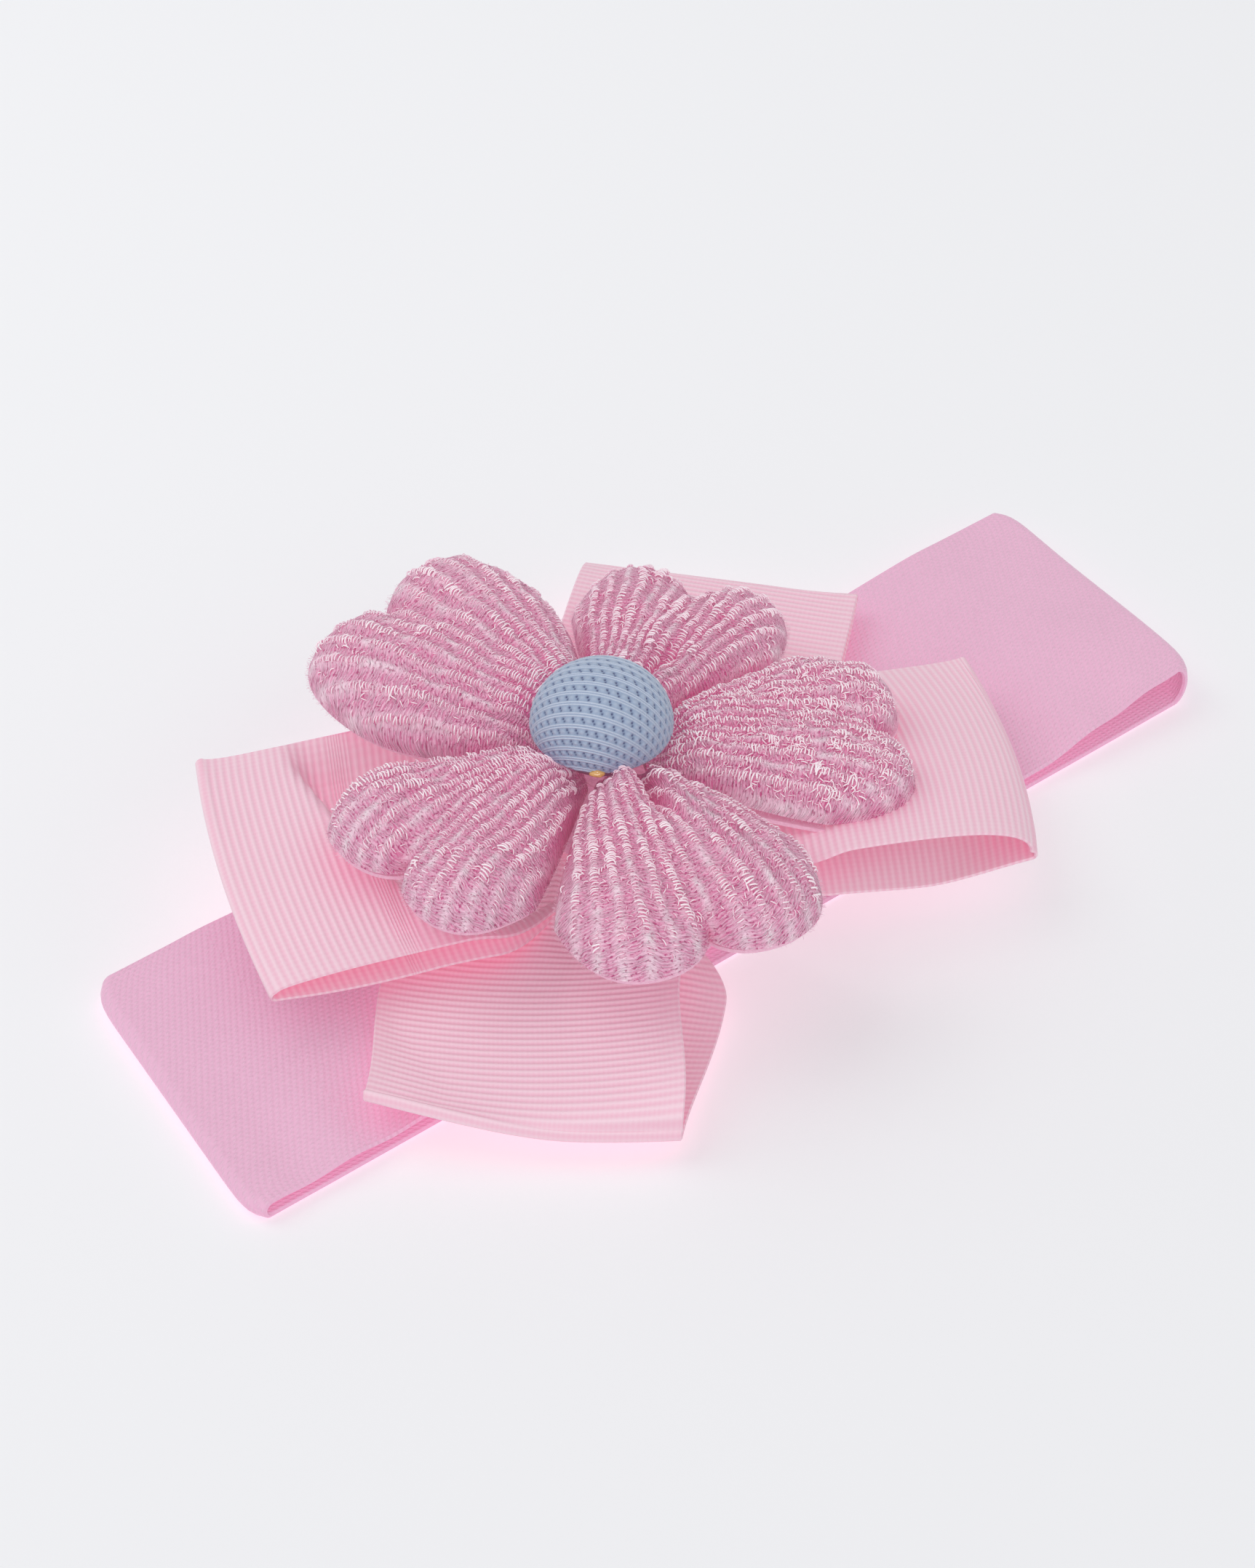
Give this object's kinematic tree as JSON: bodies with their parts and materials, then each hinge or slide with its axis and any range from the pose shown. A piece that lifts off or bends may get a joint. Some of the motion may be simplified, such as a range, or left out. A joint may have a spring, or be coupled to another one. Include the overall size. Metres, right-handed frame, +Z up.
{
  "type": "child's bow and flower headband",
  "caption": "Soft stretch headband lying flat, with a crossed ribbon bow, a padded heart-petal flower and a domed fabric-covered button.",
  "frame": {"origin": "middle of the band's flat length and width, on the plane that the band lies on", "axes": "+X along the band towards its right end, +Y across the band towards its back edge, +Z up through the bow and the flower"},
  "size_m": [0.1534, 0.0902, 0.0314],
  "materials": {
    "band_fabric": "matte",
    "grosgrain_ribbon": "satin",
    "petal_knit": "matte",
    "petal_backing": "matte",
    "felt": "matte",
    "filling": "matte",
    "button_knit": "matte",
    "button_metal": "satin",
    "sewing_thread": "satin",
    "glue": "gloss"
  },
  "bodies": {
    "bow": {"band_crown": "band_fabric", "ribbon_front_back": "grosgrain_ribbon", "ribbon_left_right": "grosgrain_ribbon", "bow_felt_pad": "felt", "bow_gather_thread": "sewing_thread", "flower_felt_base": "felt", "petal_1_root": "petal_knit", "petal_2_root": "petal_knit", "petal_3_root": "petal_knit", "petal_4_root": "petal_knit", "petal_5_root": "petal_knit", "petal_gather_thread": "sewing_thread", "button_cover": "button_knit", "button_shell": "button_metal", "button_back_plate": "button_metal", "button_glue_pad": "glue", "glue_bead": "glue"},
    "band_upper_right": {"band_upper_right": "band_fabric"},
    "band_upper_left": {"band_upper_left": "band_fabric"},
    "band_lower_right": {"band_lower_right": "band_fabric"},
    "band_lower_left": {"band_lower_left": "band_fabric", "band_seam_stitching": "sewing_thread"},
    "petal_1": {"petal_1_back": "petal_backing", "petal_1_front": "petal_knit", "petal_1_filling": "filling"},
    "petal_2": {"petal_2_back": "petal_backing", "petal_2_front": "petal_knit", "petal_2_filling": "filling"},
    "petal_3": {"petal_3_back": "petal_backing", "petal_3_front": "petal_knit", "petal_3_filling": "filling"},
    "petal_4": {"petal_4_back": "petal_backing", "petal_4_front": "petal_knit", "petal_4_filling": "filling"},
    "petal_5": {"petal_5_back": "petal_backing", "petal_5_front": "petal_knit", "petal_5_filling": "filling"}
  },
  "joints": [
    {"name": "band_open", "type": "hinge", "parent": "bow", "child": "band_upper_right", "pos_m": [0.024, 0, 0.00225], "axis": [0, 1, 0], "range_deg": [0, 45]},
    {"name": "band_open_left", "type": "hinge", "parent": "bow", "child": "band_upper_left", "pos_m": [-0.024, 0, 0.00225], "axis": [0, -1, 0], "range_deg": [0, 45]},
    {"name": "fold_right", "type": "hinge", "parent": "band_upper_right", "child": "band_lower_right", "pos_m": [0.07305, 0, 0.00565], "axis": [0, -1, 0], "range_deg": [0, 78]},
    {"name": "fold_left", "type": "hinge", "parent": "band_upper_left", "child": "band_lower_left", "pos_m": [-0.07305, 0, 0.00565], "axis": [0, 1, 0], "range_deg": [0, 78]},
    {"name": "petal_1_lift", "type": "hinge", "parent": "bow", "child": "petal_1", "pos_m": [-0.00941, 0.01246, 0.0151], "axis": [0.9744, 0.225, 0], "range_deg": [0, 20], "stiffness_Nm_per_rad": 0.001},
    {"name": "petal_2_lift", "type": "hinge", "parent": "bow", "child": "petal_2", "pos_m": [0.00072, 0.00821, 0.0151], "axis": [0.5225, -0.8526, 0], "range_deg": [0, 20], "stiffness_Nm_per_rad": 0.001},
    {"name": "petal_3_lift", "type": "hinge", "parent": "bow", "child": "petal_3", "pos_m": [0.0008, -0.00147, 0.0151], "axis": [-0.5075, -0.8616, 0], "range_deg": [0, 20], "stiffness_Nm_per_rad": 0.001},
    {"name": "petal_4_lift", "type": "hinge", "parent": "bow", "child": "petal_4", "pos_m": [-0.00997, -0.00571, 0.0151], "axis": [-0.9588, 0.284, 0], "range_deg": [0, 20], "stiffness_Nm_per_rad": 0.001},
    {"name": "petal_5_lift", "type": "hinge", "parent": "bow", "child": "petal_5", "pos_m": [-0.01666, 0.0024, 0.0151], "axis": [-0.0958, 0.9954, 0], "range_deg": [0, 20], "stiffness_Nm_per_rad": 0.001}
  ],
  "couplings": [
    {"joint": "band_open_left", "follows": "band_open", "ratio": 1},
    {"joint": "fold_right", "follows": "band_open", "ratio": 1.6524},
    {"joint": "fold_left", "follows": "band_open", "ratio": 1.6524}
  ]
}
